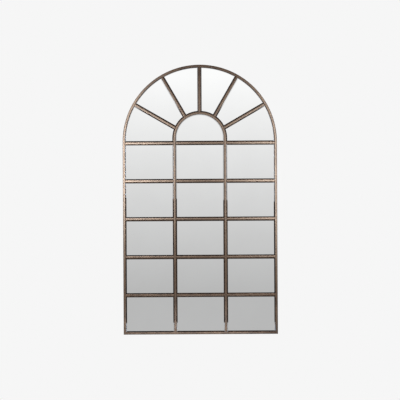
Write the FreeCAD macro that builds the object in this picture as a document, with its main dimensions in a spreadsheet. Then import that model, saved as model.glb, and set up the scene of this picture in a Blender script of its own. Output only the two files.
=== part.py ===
# Arched floor mirror: a bronze-coloured steel frame that holds bevelled mirror panes like a window.
# Millimetres. +Z is up, the mirrors face -Y, and the origin is on the floor under the middle.
import FreeCAD, Part
import math
import operator
import os
from types import SimpleNamespace

import Sketcher

# How many of each repeated piece there are
ROWS = 5
SPOKES = 5
TABS_PER_STILE = 3
TABS_PER_ARCH = 3
TABS_PER_RAIL = 2
SCREWS_PER_HANGER = 3

# Driving dimensions
SIZES = {
    # outer frame
    "overall_width": 1030,
    "overall_height": 1800,
    "frame_depth": 32,
    "face_width": 16,
    "tube_wall": 1.5,
    "crown_rise": 2.5,
    # glazing bars
    "bar_width": 16,
    "bar_side": 3.5,
    "bar_setback": 6,
    "stem_width": 3,
    "spring_drop": 7,
    "arch_stilt": 31,
    "weld_gap": 0.1,
    # mirror panes
    "glass_thickness": 4,
    "bevel_width": 12.5,
    "bevel_depth": 1.8,
    "edge_gap": 0.5,
    "head_gap": 0.2,
    # backing board and the tabs that hold it
    "board_thickness": 6,
    "tab_width": 20,
    "tab_reach": 24,
    "tab_thickness": 2,
    "tab_hole_inset": 8,
    # screws
    "screw_diameter": 4,
    "screw_grip": 5,
    "screw_head_diameter": 8,
    "screw_head_height": 2.2,
    "pilot_clearance": 0.05,
    "hole_clearance": 0.25,
    # strap hangers and their rings
    "hanger_spacing": 760,
    "hanger_height": 1200,
    "strap_width": 20,
    "strap_length": 72,
    "strap_thickness": 2,
    "strap_screw_pitch": 16,
    "strap_end_margin": 8,
    "ring_wire": 5,
    "ring_straight": 23,
    "ring_corner": 5,
    "ring_clearance": 0.06,
    "ring_lift": 0.4,
    # rubber pads on the back
    "pad_width": 8,
    "pad_length": 40,
    "pad_thickness": 3,
    "low_pad_height": 80,
}
HIGH_PAD_ANGLES = (60, 120)

OPERATIONS = {"+": operator.add, "-": operator.sub, "*": operator.mul, "/": operator.truediv}


class Size:
    """A length that knows both its present value and the sheet formula that gives it."""

    def __init__(self, value, formula):
        self.value = value
        self.formula = formula

    def __add__(self, other):
        return combine("+", self, other)

    def __sub__(self, other):
        return combine("-", self, other)

    def __mul__(self, other):
        return combine("*", self, other)

    def __truediv__(self, other):
        return combine("/", self, other)

    def __neg__(self):
        return combine("-", ZERO, self)


ZERO = Size(0, "0")


def as_size(number):
    """Give a plain number the same form as a length from the sheet."""
    return number if isinstance(number, Size) else Size(number, f"({number})")


def combine(sign, left, right):
    """Work out a value and write its formula at the same time."""
    left, right = as_size(left), as_size(right)
    value = OPERATIONS[sign](left.value, right.value)
    return Size(value, f"({left.formula} {sign} {right.formula})")


doc = FreeCAD.newDocument("arched_floor_mirror")
sheet = doc.addObject("Spreadsheet::Sheet", "Dims")
for row, (name, number) in enumerate(SIZES.items(), start=1):
    sheet.set(f"A{row}", name)
    sheet.set(f"B{row}", str(number))
    sheet.setAlias(f"B{row}", name)
dim = SimpleNamespace(**{name: Size(number, f"Dims.{name}") for name, number in SIZES.items()})
doc.recompute()

# Places that follow from the driving dimensions: depths count back from the frame's front plane
half_width = dim.overall_width / 2
spring = dim.overall_height - half_width
front = -(dim.frame_depth + dim.pad_thickness) / 2
lap = (dim.bar_width - dim.stem_width) / 2 - dim.edge_gap
rebate = dim.face_width - lap
tube_width = rebate - dim.edge_gap
stem_offset = dim.stem_width / 2 + dim.edge_gap
bar_back = dim.bar_setback + dim.crown_rise + dim.bar_side
bevel_drop = dim.bevel_depth * (dim.bevel_width - lap) / dim.bevel_width
glass_back = bar_back + dim.head_gap - bevel_drop + dim.glass_thickness
board_back = glass_back + dim.board_thickness
first_edge = dim.face_width - dim.bar_width / 2
pitch = (spring - dim.spring_drop - first_edge) / ROWS
daylight = (dim.overall_width - dim.face_width * 2 - dim.bar_width * 2) / 3
mullion_x = (daylight + dim.bar_width) / 2
arch_offset = dim.arch_stilt - dim.spring_drop
glass_radius = half_width - rebate
screw_radius = dim.screw_diameter / 2
ring_height = dim.strap_thickness + dim.ring_lift + dim.ring_wire / 2


def transom_height(row):
    """Height of a transom's centre line above the floor."""
    return first_edge + pitch * row


def bind(thing, path, size):
    """Tie one property to its formula."""
    thing.setExpression(path, size.formula)


def place(thing, x, y, z, turn=0):
    """Put a piece in the frame, turned about the depth axis."""
    base = FreeCAD.Vector(x.value, y.value, z.value)
    thing.Placement = FreeCAD.Placement(base, FreeCAD.Rotation(FreeCAD.Vector(0, 1, 0), turn))
    for axis, size in zip("xyz", (x, y, z)):
        bind(thing, f"Placement.Base.{axis}", size)


def new_body(label):
    """Start a piece."""
    body = doc.addObject("PartDesign::Body", label)
    body.Label = label
    return body


def new_sketch(body, role, name):
    """Start a sketch on one of the piece's own origin planes."""
    plane = next(item for item in body.Origin.OriginFeatures if item.Role == role)
    sketch = body.newObject("Sketcher::SketchObject", name)
    sketch.AttachmentSupport = [(plane, "")]
    sketch.MapMode = "FlatFace"
    return sketch


def limit(sketch, size, kind, *where):
    """Add a dimension to a sketch and tie it to its formula."""
    index = sketch.addConstraint(Sketcher.Constraint(kind, *where, size.value))
    bind(sketch, f"Constraints[{index}]", size)


def relate(sketch, kind, *where):
    """Add a relation between edges of a sketch."""
    sketch.addConstraint(Sketcher.Constraint(kind, *where))


def fix_point(sketch, edge, end, x, y):
    """Hold one end of an edge at a place measured from the sketch's origin."""
    limit(sketch, x, "DistanceX", -1, 1, edge, end)
    limit(sketch, y, "DistanceY", -1, 1, edge, end)


def point(x, y):
    """A point of a sketch."""
    return FreeCAD.Vector(x, y, 0)


def arc(centre, radius, start, end):
    """An arc that turns anticlockwise from one point to another."""
    circle = Part.Circle(centre, FreeCAD.Vector(0, 0, 1), radius)
    angles = [math.atan2(spot.y - centre.y, spot.x - centre.x) for spot in (start, end)]
    return Part.ArcOfCircle(circle, *angles)


def draw_polygon(sketch, corners, crown_radius=None):
    """Draw a closed outline; with a crown radius its first edge bows out towards the front."""
    first = sketch.GeometryCount
    spots = [point(x.value, y.value) for x, y in corners]
    for number, start in enumerate(spots):
        end = spots[(number + 1) % len(spots)]
        if crown_radius and number == 0:
            middle = (start + end) / 2
            fall = math.sqrt(crown_radius.value ** 2 - (end - start).Length ** 2 / 4)
            sketch.addGeometry(arc(middle + point(0, fall), crown_radius.value, start, end))
        else:
            sketch.addGeometry(Part.LineSegment(start, end))
    for number, (x, y) in enumerate(corners):
        following = first + (number + 1) % len(corners)
        relate(sketch, "Coincident", first + number, 2, following, 1)
        fix_point(sketch, first + number, 1, x, y)
    if crown_radius:
        limit(sketch, crown_radius, "Radius", first)


def draw_box(sketch, low_x, low_y, high_x, high_y):
    """Draw a rectangle."""
    draw_polygon(sketch, [(low_x, low_y), (high_x, low_y), (high_x, high_y), (low_x, high_y)])


def draw_circle(sketch, x, y, radius):
    """Draw a circle."""
    circle = Part.Circle(point(x.value, y.value), FreeCAD.Vector(0, 0, 1), radius.value)
    edge = sketch.addGeometry(circle)
    fix_point(sketch, edge, 3, x, y)
    limit(sketch, radius, "Radius", edge)


def add_pad(body, sketch, length, back=False, both=False):
    """Give a sketch its thickness."""
    pad = body.newObject("PartDesign::Pad", "Pad")
    pad.Profile = sketch
    pad.Reversed = back
    pad.SideType = "Symmetric" if both else "One side"
    bind(pad, "Length", length)
    return pad


def crown(width):
    """Radius of the bowed front of a member of this width."""
    return (width * width / 4 + dim.crown_rise * dim.crown_rise) / (dim.crown_rise * 2)


def draw_frame_section(sketch, outer):
    """Outer frame: a tube with a lip over the glass, its outer side at the given distance."""
    inner = outer - dim.face_width
    tube = outer - tube_width
    corners = [
        (inner, dim.crown_rise),
        (outer, dim.crown_rise),
        (outer, dim.frame_depth),
        (tube, dim.frame_depth),
        (tube, bar_back),
        (inner, bar_back),
    ]
    draw_polygon(sketch, corners, crown(dim.face_width))
    draw_box(sketch, tube + dim.tube_wall, bar_back, outer - dim.tube_wall, dim.frame_depth - dim.tube_wall)


def draw_bar_section(sketch, middle):
    """Glazing bar: a bowed head in front of the glass and a stem between the panes."""
    side = dim.bar_width / 2
    stem = dim.stem_width / 2
    shoulder = dim.bar_setback + dim.crown_rise
    corners = [
        (middle - side, shoulder),
        (middle + side, shoulder),
        (middle + side, bar_back),
        (middle + stem, bar_back),
        (middle + stem, glass_back),
        (middle - stem, glass_back),
        (middle - stem, bar_back),
        (middle - side, bar_back),
    ]
    draw_polygon(sketch, corners, crown(dim.bar_width))


def straight_member(label, draw_section, length, x, z, turn):
    """A straight length of frame or bar that starts at (x, z)."""
    body = new_body(label)
    sketch = new_sketch(body, "XY_Plane", "Section")
    draw_section(sketch, ZERO)
    add_pad(body, sketch, length)
    place(body, x, front, z, turn)
    return body


def bent_member(label, draw_section, radius, z):
    """A half-round length of frame or bar about a centre at height z."""
    body = new_body(label)
    sketch = new_sketch(body, "XY_Plane", "Section")
    draw_section(sketch, radius)
    bow = body.newObject("PartDesign::Revolution", "Bow")
    bow.Profile = sketch
    bow.ReferenceAxis = (sketch, ["V_Axis"])
    bow.Angle = 180
    bow.Reversed = True
    place(body, ZERO, front, z)
    return body


def spoke(label, angle):
    """A bar from the inner arch to the arch bow, coped to the inner arch at its foot."""
    turn = 90 - angle
    sag = dim.bar_width * dim.bar_width / 8 / (half_width - dim.face_width)
    length = half_width - dim.face_width - sag - dim.weld_gap
    body = straight_member(label, draw_bar_section, length, ZERO, spring, turn)
    cope = new_sketch(body, "XZ_Plane", "Cope")
    tilt = math.radians(turn)
    across = arch_offset * -math.sin(tilt)
    along = arch_offset * math.cos(tilt)
    draw_circle(cope, across, along, mullion_x + dim.bar_width / 2 + dim.weld_gap)
    pocket = body.newObject("PartDesign::Pocket", "FootCope")
    pocket.Profile = cope
    pocket.Type = "ThroughAll"
    pocket.SideType = "Symmetric"
    return body


def draw_arched(sketch, half, bottom, centre):
    """Draw a flat-bottomed outline with upright sides and a half-round top."""
    low_left, low_right = point(-half.value, bottom.value), point(half.value, bottom.value)
    top_left, top_right = point(-half.value, centre.value), point(half.value, centre.value)
    sketch.addGeometry(Part.LineSegment(low_left, low_right))
    sketch.addGeometry(Part.LineSegment(low_right, top_right))
    sketch.addGeometry(arc(point(0, centre.value), half.value, top_right, top_left))
    sketch.addGeometry(Part.LineSegment(top_left, low_left))
    sill, right, top, left = range(4)
    relate(sketch, "Coincident", sill, 2, right, 1)
    relate(sketch, "Tangent", right, 2, top, 1)
    relate(sketch, "Tangent", top, 2, left, 1)
    relate(sketch, "Coincident", left, 2, sill, 1)
    relate(sketch, "Horizontal", sill)
    relate(sketch, "Vertical", right)
    relate(sketch, "Vertical", left)
    fix_point(sketch, top, 3, ZERO, centre)
    limit(sketch, half, "Radius", top)
    limit(sketch, bottom, "DistanceY", -1, 1, sill, 1)


def meet(angle, offset, centre_height, radius):
    """Where a line beside a spoke meets an arc about a centre on the upright axis."""
    along = point(math.cos(angle), math.sin(angle))
    beside = point(-along.y, along.x) * offset
    gap = beside - point(0, centre_height)
    half_chord = gap.dot(along)
    reach = -half_chord + math.sqrt(half_chord ** 2 - gap.dot(gap) + radius ** 2)
    return beside + along * reach


def add_spoke_side(sketch, angle, offset, inner_radius):
    """Draw a pane's straight side beside a spoke, from the inner arch out to the arch bow."""
    foot = meet(angle, offset, arch_offset.value, inner_radius.value)
    head = meet(angle, offset, 0, glass_radius.value)
    edge = sketch.addGeometry(Part.LineSegment(foot, head))
    sketch.addConstraint(Sketcher.Constraint("Angle", edge, angle))
    limit(sketch, stem_offset, "Distance", -1, 1, edge)
    return edge, foot, head


def add_fan_arc(sketch, centre_height, radius, start, end):
    """Draw a pane's curved side along one of the arches."""
    edge = sketch.addGeometry(arc(point(0, centre_height.value), radius.value, start, end))
    fix_point(sketch, edge, 3, ZERO, centre_height)
    limit(sketch, radius, "Radius", edge)
    return edge


def draw_fan(sketch, low_angle, high_angle):
    """Outline of a pane between two spokes, about the arch bow's centre."""
    inner_radius = mullion_x + stem_offset
    low, low_foot, low_head = add_spoke_side(sketch, low_angle, stem_offset.value, inner_radius)
    high, high_foot, high_head = add_spoke_side(sketch, high_angle, -stem_offset.value, inner_radius)
    outer = add_fan_arc(sketch, ZERO, glass_radius, low_head, high_head)
    inner = add_fan_arc(sketch, arch_offset, inner_radius, low_foot, high_foot)
    relate(sketch, "Coincident", low, 2, outer, 1)
    relate(sketch, "Coincident", high, 2, outer, 2)
    relate(sketch, "Coincident", low, 1, inner, 1)
    relate(sketch, "Coincident", high, 1, inner, 2)


def draw_end_fan(sketch, high_angle):
    """Outline of the pane between the top transom and the lowest spoke on the right."""
    inner_radius = mullion_x + stem_offset
    bottom = stem_offset - dim.spring_drop
    high, high_foot, high_head = add_spoke_side(sketch, high_angle, -stem_offset.value, inner_radius)
    leg_foot = point(inner_radius.value, bottom.value)
    leg_head = point(inner_radius.value, arch_offset.value)
    sill_end = point(math.sqrt(glass_radius.value ** 2 - bottom.value ** 2), bottom.value)
    outer = add_fan_arc(sketch, ZERO, glass_radius, sill_end, high_head)
    inner = add_fan_arc(sketch, arch_offset, inner_radius, leg_head, high_foot)
    sill = sketch.addGeometry(Part.LineSegment(leg_foot, sill_end))
    leg = sketch.addGeometry(Part.LineSegment(leg_foot, leg_head))
    relate(sketch, "Coincident", sill, 2, outer, 1)
    relate(sketch, "Coincident", high, 2, outer, 2)
    relate(sketch, "Coincident", high, 1, inner, 2)
    relate(sketch, "Tangent", leg, 2, inner, 1)
    relate(sketch, "Coincident", leg, 1, sill, 1)
    relate(sketch, "Horizontal", sill)
    relate(sketch, "Vertical", leg)
    limit(sketch, bottom, "DistanceY", -1, 1, sill, 1)


def pane(label, draw_outline, x, z):
    """A mirror pane whose front edge is ground to a narrow bevel all round."""
    body = new_body(label)
    sketch = new_sketch(body, "XZ_Plane", "Outline")
    draw_outline(sketch)
    glass = add_pad(body, sketch, dim.glass_thickness)
    doc.recompute()
    depths = [face.CenterOfMass.y for face in glass.Shape.Faces]
    bevel = body.newObject("PartDesign::Chamfer", "Bevel")
    bevel.Base = (glass, [f"Face{depths.index(min(depths)) + 1}"])
    bevel.ChamferType = "Two distances"
    bevel.FlipDirection = True
    bind(bevel, "Size", dim.bevel_width)
    bind(bevel, "Size2", dim.bevel_depth)
    place(body, x, front + glass_back, z)
    return body


def mirrored(label, source):
    """The same piece on the other side of the mirror's middle."""
    copy = doc.addObject("Part::Mirroring", label)
    copy.Label = label
    copy.Source = source
    copy.Normal = FreeCAD.Vector(1, 0, 0)
    return copy


def grouped(label, master, spots):
    """Identical small pieces in one node: a linked copy of the master at each spot."""
    copies = []
    for x, y, z, turn in spots:
        copy = doc.addObject("App::Link", f"{label}_copy")
        copy.LinkedObject = master
        place(copy, x, y, z, turn)
        copies.append(copy)
    group = doc.addObject("Part::Compound", label)
    group.Label = label
    group.Links = copies
    return group


def rim_spot(distance, angle, depth):
    """A spot on a circle about the arch bow's centre, with the turn that faces outwards there."""
    tilt = math.radians(angle)
    return distance * math.cos(tilt), depth, spring + distance * math.sin(tilt), -angle


def step_inward(spot, distance, depth):
    """The spot moved in towards the middle of the frame, at another depth."""
    x, _, z, turn = spot
    tilt = math.radians(-turn)
    return x - distance * math.cos(tilt), depth, z - distance * math.sin(tilt), turn


def screw(label, clamped):
    """A pan-head screw that clamps this thickness to the board."""
    body = new_body(label)
    sketch = new_sketch(body, "XY_Plane", "Section")
    tip = -(clamped + dim.screw_grip)
    head_radius = dim.screw_head_diameter / 2
    corners = [
        (ZERO, tip),
        (screw_radius / 2, tip),
        (screw_radius, tip + screw_radius),
        (screw_radius, ZERO),
        (head_radius, ZERO),
        (head_radius, dim.screw_head_height / 2),
        (head_radius - dim.screw_head_height / 2, dim.screw_head_height),
        (ZERO, dim.screw_head_height),
    ]
    draw_polygon(sketch, corners)
    turned = body.newObject("PartDesign::Revolution", "Turned")
    turned.Profile = sketch
    turned.ReferenceAxis = (sketch, ["V_Axis"])
    turned.Angle = 360
    return body


def retaining_tab():
    """A flat lug that is welded to the frame's tube and laps the back of the board."""
    body = new_body("tab_master")
    sketch = new_sketch(body, "XZ_Plane", "Outline")
    side = dim.tab_width / 2
    draw_box(sketch, -dim.tab_reach, -side, ZERO, side)
    draw_circle(sketch, dim.tab_hole_inset - dim.tab_reach, ZERO, screw_radius + dim.hole_clearance)
    add_pad(body, sketch, dim.tab_thickness, back=True)
    return body


def wall_pad():
    """A rubber pad that stands on the back of the frame's tube."""
    body = new_body("pad_master")
    sketch = new_sketch(body, "XZ_Plane", "Outline")
    draw_box(sketch, -dim.pad_width / 2, -dim.pad_length / 2, dim.pad_width / 2, dim.pad_length / 2)
    add_pad(body, sketch, dim.pad_thickness, back=True)
    return body


def strap_hole(number):
    """Height of a strap's screw hole, measured from the ring's pivot."""
    return dim.strap_end_margin - dim.strap_length + dim.strap_screw_pitch * number


def hanger_strap(label, x):
    """A steel strap on the board with a barrel at its top that the ring turns in."""
    body = new_body(label)
    side = dim.strap_width / 2
    outline = new_sketch(body, "XZ_Plane", "Outline")
    draw_box(outline, -side, -dim.strap_length, side, ZERO)
    for number in range(SCREWS_PER_HANGER):
        draw_circle(outline, ZERO, strap_hole(number), screw_radius + dim.hole_clearance)
    add_pad(body, outline, dim.strap_thickness, back=True)
    bore = dim.ring_wire / 2 + dim.ring_clearance
    barrel = new_sketch(body, "YZ_Plane", "Barrel")
    draw_circle(barrel, ring_height, ZERO, bore + dim.strap_thickness)
    add_pad(body, barrel, dim.strap_width, both=True)
    hole = new_sketch(body, "YZ_Plane", "Bore")
    draw_circle(hole, ring_height, ZERO, bore)
    pocket = body.newObject("PartDesign::Pocket", "RingBore")
    pocket.Profile = hole
    pocket.Type = "ThroughAll"
    pocket.SideType = "Symmetric"
    place(body, x, front + board_back, dim.hanger_height)
    return body


def hanger_ring(label, x):
    """A D-shaped wire ring that hangs from the strap's barrel by its straight side."""
    body = new_body(label)
    side = dim.ring_straight / 2
    corner = dim.ring_corner
    bow = side + corner
    path = new_sketch(body, "XZ_Plane", "Path")
    right, left = point(side.value, 0), point(-side.value, 0)
    low_right, low_left = point(bow.value, -corner.value), point(-bow.value, -corner.value)
    path.addGeometry(Part.LineSegment(right, point(0, 0)))
    path.addGeometry(Part.LineSegment(point(0, 0), left))
    path.addGeometry(arc(point(left.x, low_left.y), corner.value, left, low_left))
    path.addGeometry(arc(point(0, low_left.y), bow.value, low_left, low_right))
    path.addGeometry(arc(point(right.x, low_right.y), corner.value, low_right, right))
    top_right, top_left, turn_left, round_bow, turn_right = range(5)
    for edge, following in ((top_left, turn_left), (turn_left, round_bow), (round_bow, turn_right)):
        relate(path, "Tangent", edge, 2, following, 1)
    relate(path, "Tangent", turn_right, 2, top_right, 1)
    relate(path, "Coincident", top_right, 2, top_left, 1)
    relate(path, "Coincident", top_right, 2, -1, 1)
    relate(path, "Horizontal", top_left)
    limit(path, corner, "Radius", turn_left)
    limit(path, corner, "Radius", turn_right)
    limit(path, -side, "DistanceX", -1, 1, top_left, 2)
    limit(path, side, "DistanceX", -1, 1, top_right, 1)
    limit(path, -corner, "DistanceY", -1, 1, round_bow, 3)
    wire = new_sketch(body, "YZ_Plane", "Wire")
    draw_circle(wire, ZERO, ZERO, dim.ring_wire / 2)
    doc.recompute()
    pipe = body.newObject("PartDesign::AdditivePipe", "Ring")
    pipe.Profile = wire
    pipe.Spine = (path, [])
    place(body, x, front + board_back + ring_height, dim.hanger_height)
    return body


def backing_board(label, holes):
    """The board behind the panes, with blind pilot holes for its screws in the back."""
    body = new_body(label)
    outline = new_sketch(body, "XZ_Plane", "Outline")
    draw_arched(outline, glass_radius, rebate - spring, ZERO)
    add_pad(body, outline, dim.board_thickness)
    pilots = new_sketch(body, "XZ_Plane", "Pilots")
    for x, _, z, _ in holes:
        draw_circle(pilots, x, z - spring, screw_radius + dim.pilot_clearance)
    pocket = body.newObject("PartDesign::Pocket", "PilotHoles")
    pocket.Profile = pilots
    pocket.Reversed = True
    bind(pocket, "Length", dim.screw_grip)
    place(body, ZERO, front + board_back, spring)
    return body


nodes = []

# Outer frame
nodes += [
    bent_member("arch_bow", draw_frame_section, half_width, spring),
    straight_member("left_stile", draw_frame_section, spring, -half_width, spring, 180),
    straight_member("right_stile", draw_frame_section, spring, half_width, ZERO, 0),
    straight_member(
        "bottom_rail",
        draw_frame_section,
        dim.overall_width - dim.face_width * 2,
        dim.face_width - half_width,
        ZERO,
        90,
    ),
]

# Glazing bars
mullion_length = spring + arch_offset - dim.face_width
nodes.append(straight_member("left_mullion", draw_bar_section, mullion_length, -mullion_x, dim.face_width, 0))
nodes.append(straight_member("right_mullion", draw_bar_section, mullion_length, mullion_x, dim.face_width, 0))
columns = {
    "left": -mullion_x - dim.bar_width / 2 - daylight,
    "middle": -daylight / 2,
    "right": mullion_x + dim.bar_width / 2,
}
for row in range(1, ROWS + 1):
    for side, start in columns.items():
        label = f"transom_{row}_{side}"
        nodes.append(straight_member(label, draw_bar_section, daylight, start, transom_height(row), 90))
nodes.append(bent_member("inner_arch", draw_bar_section, mullion_x, spring + arch_offset))
fan_step = 180 / (SPOKES + 1)
for number in range(1, SPOKES + 1):
    nodes.append(spoke(f"spoke_{number}", fan_step * number))

# Mirror panes
pane_half_width = (daylight + dim.bar_width) / 2 - stem_offset
pane_half_height = pitch / 2 - stem_offset


def draw_pane(sketch):
    """Outline of a rectangular pane about its middle."""
    draw_box(sketch, -pane_half_width, -pane_half_height, pane_half_width, pane_half_height)


def draw_half_round(sketch):
    """Outline of the pane inside the inner arch, about the arch bow's centre."""
    draw_arched(sketch, mullion_x - stem_offset, stem_offset - dim.spring_drop, arch_offset)


for row in range(1, ROWS + 1):
    for side, start in columns.items():
        middle_height = transom_height(row) - pitch / 2
        nodes.append(pane(f"pane_{row}_{side}", draw_pane, start + daylight / 2, middle_height))
nodes.append(pane("half_round_pane", draw_half_round, ZERO, spring))
for number in range(1, (SPOKES + 1) // 2 + 1):
    low_angle, high_angle = math.radians(fan_step * (number - 1)), math.radians(fan_step * number)
    if number == 1:
        right_pane = pane("fan_pane_1", lambda sketch: draw_end_fan(sketch, high_angle), ZERO, spring)
    else:
        right_pane = pane(
            f"fan_pane_{number}", lambda sketch: draw_fan(sketch, low_angle, high_angle), ZERO, spring
        )
    nodes.append(right_pane)
    nodes.append(mirrored(f"fan_pane_{SPOKES + 2 - number}", right_pane))

# Board, tabs, hangers and pads on the back
board_plane = front + board_back
tab_edge = half_width - tube_width
tab_spots = []
for number in range(1, TABS_PER_STILE + 1):
    height = spring * number / (TABS_PER_STILE + 1)
    tab_spots.append((tab_edge, board_plane, height, 0))
    tab_spots.append((-tab_edge, board_plane, height, 180))
for number in range(1, TABS_PER_RAIL + 1):
    across = dim.overall_width * (number / (TABS_PER_RAIL + 1)) - half_width
    tab_spots.append((across, board_plane, tube_width, 90))
tab_sag = dim.tab_width * dim.tab_width / 8 / tab_edge
for number in range(1, TABS_PER_ARCH + 1):
    angle = 180 * number / (TABS_PER_ARCH + 1)
    tab_spots.append(rim_spot(tab_edge - tab_sag - dim.weld_gap, angle, board_plane))
hole_step = dim.tab_reach - dim.tab_hole_inset
tab_holes = [step_inward(spot, hole_step, board_plane + dim.tab_thickness) for spot in tab_spots]

hanger_places = {"left": -dim.hanger_spacing / 2, "right": dim.hanger_spacing / 2}
strap_plane = board_plane + dim.strap_thickness
hanger_holes = []
for x in hanger_places.values():
    for number in range(SCREWS_PER_HANGER):
        hanger_holes.append((x, strap_plane, dim.hanger_height + strap_hole(number), 0))

pad_line = half_width - tube_width / 2
pad_plane = front + dim.frame_depth
pad_spots = [(side, pad_plane, dim.low_pad_height, 0) for side in (-pad_line, pad_line)]
pad_spots += [rim_spot(pad_line, angle, pad_plane) for angle in HIGH_PAD_ANGLES]

nodes.append(backing_board("backing_board", tab_holes + hanger_holes))
nodes.append(grouped("retaining_tabs", retaining_tab(), tab_spots))
nodes.append(grouped("tab_screws", screw("tab_screw_master", dim.tab_thickness), tab_holes))
for side, x in hanger_places.items():
    nodes.append(hanger_strap(f"{side}_hanger_strap", x))
    nodes.append(hanger_ring(f"{side}_hanger_ring", x))
nodes.append(grouped("hanger_screws", screw("hanger_screw_master", dim.strap_thickness), hanger_holes))
nodes.append(grouped("wall_pads", wall_pad(), pad_spots))

doc.recompute()
failed = [thing.Name for thing in doc.Objects if {"Invalid", "Error"} & set(thing.State)]
if failed:
    raise SystemExit(f"objects that failed: {failed}")
for node in nodes:
    if node.Shape.isNull() or not node.Shape.isValid() or not node.Shape.Solids:
        raise SystemExit(f"bad shape: {node.Label}")
os.makedirs("parts", exist_ok=True)
for node in nodes:
    node.Shape.exportStep(f"parts/{node.Label}.step")
    print(f"{node.Label}: {len(node.Shape.Solids)} solid(s), {node.Shape.Volume:.0f} mm3")
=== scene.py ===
# %% [markdown]
# # An arched floor mirror, dressed for its photograph
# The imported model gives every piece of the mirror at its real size. This lesson keeps those places
# and gives the pieces their finish: aged bronze bars, silvered panes with ground edges, and the
# plain hardware behind. Everything is in metres, +Z is up, and the mirrors face -Y.

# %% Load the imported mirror
import math

import bmesh
import bpy
from mathutils import Matrix, Vector


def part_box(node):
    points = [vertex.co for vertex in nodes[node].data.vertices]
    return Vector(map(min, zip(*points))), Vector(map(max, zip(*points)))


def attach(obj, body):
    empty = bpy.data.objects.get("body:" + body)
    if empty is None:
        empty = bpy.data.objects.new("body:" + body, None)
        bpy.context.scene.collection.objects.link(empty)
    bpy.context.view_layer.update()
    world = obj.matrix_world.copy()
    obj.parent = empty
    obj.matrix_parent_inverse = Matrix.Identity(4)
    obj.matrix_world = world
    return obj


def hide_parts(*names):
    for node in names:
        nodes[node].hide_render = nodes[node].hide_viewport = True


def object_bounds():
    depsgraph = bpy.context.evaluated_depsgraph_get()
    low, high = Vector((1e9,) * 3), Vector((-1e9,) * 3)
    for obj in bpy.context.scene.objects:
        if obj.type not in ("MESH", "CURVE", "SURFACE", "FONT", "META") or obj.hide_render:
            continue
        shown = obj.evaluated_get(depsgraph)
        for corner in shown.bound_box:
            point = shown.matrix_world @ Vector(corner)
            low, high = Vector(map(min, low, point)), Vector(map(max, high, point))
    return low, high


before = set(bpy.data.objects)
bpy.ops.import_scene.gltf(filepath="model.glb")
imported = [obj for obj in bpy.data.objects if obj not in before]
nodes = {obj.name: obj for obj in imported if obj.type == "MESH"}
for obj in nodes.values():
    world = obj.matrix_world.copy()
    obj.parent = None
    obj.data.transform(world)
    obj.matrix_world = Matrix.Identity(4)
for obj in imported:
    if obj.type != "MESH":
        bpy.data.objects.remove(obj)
cad_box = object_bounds()
scene = bpy.context.scene
print("pieces in the packed mirror:", len(nodes))

# %% [markdown]
# ## The camera
# The photograph looks straight at the mirror from far away, so its upright lines stay upright. A
# short lens near by would make them lean, and a long lens from far away does not. The mirror stands
# a little turned in the picture, so the camera is rolled by that small angle about its own line of
# sight. The Standard view shows the tones as they are set.

# %% Place the camera
IMAGE_PIXELS = 400
MIRROR_HEIGHT_PIXELS = 268.97
CENTRE_ABOVE_FLOOR_PIXELS = 133.95
CENTRE_RIGHT_OF_MIRROR_PIXELS = -0.09
PICTURE_ROLL = math.radians(-0.33)
CAMERA_DISTANCE = 7.0
SENSOR = 36.0


def new_object(name, data):
    """Put an object into the scene for some data."""
    thing = bpy.data.objects.new(name, data)
    scene.collection.objects.link(thing)
    return thing


mirror_height = cad_box[1][2]
pixel = mirror_height / MIRROR_HEIGHT_PIXELS
camera_data = bpy.data.cameras.new("camera")
camera_data.sensor_width = SENSOR
camera_data.lens = SENSOR * CAMERA_DISTANCE / (IMAGE_PIXELS * pixel)
camera = new_object("camera", camera_data)
to_right = CENTRE_RIGHT_OF_MIRROR_PIXELS * pixel
above_floor = CENTRE_ABOVE_FLOOR_PIXELS * pixel
camera_place = Matrix.Translation((to_right, -CAMERA_DISTANCE, above_floor))
look_level = Matrix.Rotation(math.radians(90), 4, "X")
roll = Matrix.Rotation(PICTURE_ROLL, 4, "Z")
camera.matrix_world = camera_place @ look_level @ roll
scene.camera = camera
scene.view_settings.view_transform = "Standard"
print(f"lens {camera_data.lens:.1f} mm, camera {above_floor:.3f} m above the floor")

# %% [markdown]
# ## Helpers for node trees
# The studio, the finishes and the repeated pieces are node trees. They could be joined by hand in
# the node editors, but a script makes the same tree every time. These helpers start a group with
# named sockets, add a node with its inputs filled or joined, and add the nodes that are used most:
# a sum, a change of range, a blend of two colours and a noise.

# %% Helpers for node trees
def fill(tree, socket, given):
    """Join a socket to another one, or give it a fixed value."""
    if isinstance(given, bpy.types.NodeSocket):
        tree.links.new(given, socket)
    else:
        socket.default_value = given


def add_node(tree, kind, inputs=None, **settings):
    """Add a node, set its properties, and fill or join its inputs."""
    node = tree.nodes.new(kind)
    for name, setting in settings.items():
        setattr(node, name, setting)
    for name, given in (inputs or {}).items():
        fill(tree, node.inputs[name], given)
    return node


def new_group(family, name, inputs, outputs):
    """Start a Shader or Geometry group; returns it with the sockets at its two ends."""
    group = bpy.data.node_groups.new(name, family + "NodeTree")
    for way, sockets in (("INPUT", inputs), ("OUTPUT", outputs)):
        for label, kind in sockets.items():
            group.interface.new_socket(label, in_out=way, socket_type="NodeSocket" + kind)
    source = group.nodes.new("NodeGroupInput")
    result = group.nodes.new("NodeGroupOutput")
    return group, source.outputs, result.inputs


def maths(tree, operation, *values):
    """A Math node; returns its result."""
    return add_node(tree, "ShaderNodeMath", dict(enumerate(values)), operation=operation).outputs[0]


def remap(tree, value, low, high, to_low=0.0, to_high=1.0, smooth=True):
    """Map a range of values onto another one, with soft ends unless they are not wanted."""
    inputs = {"Value": value, "From Min": low, "From Max": high, "To Min": to_low, "To Max": to_high}
    kind = "SMOOTHSTEP" if smooth else "LINEAR"
    return add_node(tree, "ShaderNodeMapRange", inputs, interpolation_type=kind).outputs["Result"]


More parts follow.
